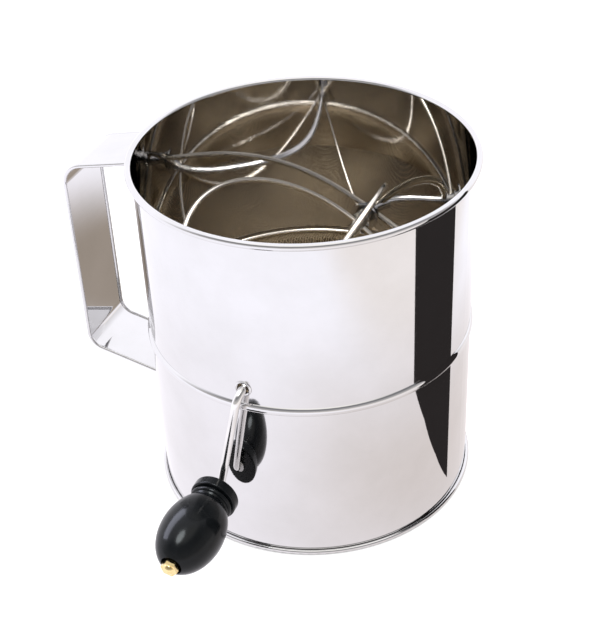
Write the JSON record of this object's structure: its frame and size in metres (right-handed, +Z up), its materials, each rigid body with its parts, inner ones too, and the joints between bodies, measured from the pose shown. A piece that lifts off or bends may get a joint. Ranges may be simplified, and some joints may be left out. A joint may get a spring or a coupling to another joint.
{
  "type": "flour sifter",
  "caption": "Crank flour sifter: open steel can with a strap handle, a side crank with an egg knob, and wire arcs sweeping a mesh bowl.",
  "frame": {"origin": "on the can's axis, in the plane of its base hem", "axes": "+Z up along the can's axis; the crank axle runs along Y and leaves the can at -Y; the strap handle stands off the can at -X"},
  "size_m": [0.212, 0.2326, 0.1847],
  "materials": {
    "polished_steel": "mirror polished",
    "wire_mesh": "fine woven wire",
    "rod_steel": "bright plated",
    "washer_steel": "plain",
    "black_lacquer": "glossy black",
    "nut_brass": "bright"
  },
  "bodies": {
    "can": {"can_body": "polished_steel", "screen_mesh": "wire_mesh", "screen_ring": "polished_steel", "handle": "polished_steel", "crank_eyelet": "polished_steel", "rear_bearing": "polished_steel"},
    "crank": {"crank_rod": "rod_steel", "front_hub": "washer_steel", "rear_hub": "washer_steel", "front_washer": "washer_steel", "rear_washer": "washer_steel", "agitator_wire_1": "rod_steel", "agitator_wire_2": "rod_steel", "agitator_wire_3": "rod_steel", "agitator_wire_4": "rod_steel", "knob_stop_washer": "washer_steel", "nut_washer": "washer_steel", "cap_nut": "nut_brass"},
    "knob": {"knob": "black_lacquer", "knob_sleeve": "washer_steel"}
  },
  "joints": [
    {"name": "crank_turn", "type": "hinge", "parent": "can", "child": "crank", "pos_m": [0, 0, 0.102], "axis": [0, 1, 0], "continuous": true},
    {"name": "knob_spin", "type": "hinge", "parent": "crank", "child": "knob", "pos_m": [-0.01378, -0.12096, 0.03986], "axis": [-0.0113, -0.9986, -0.0511], "continuous": true}
  ]
}
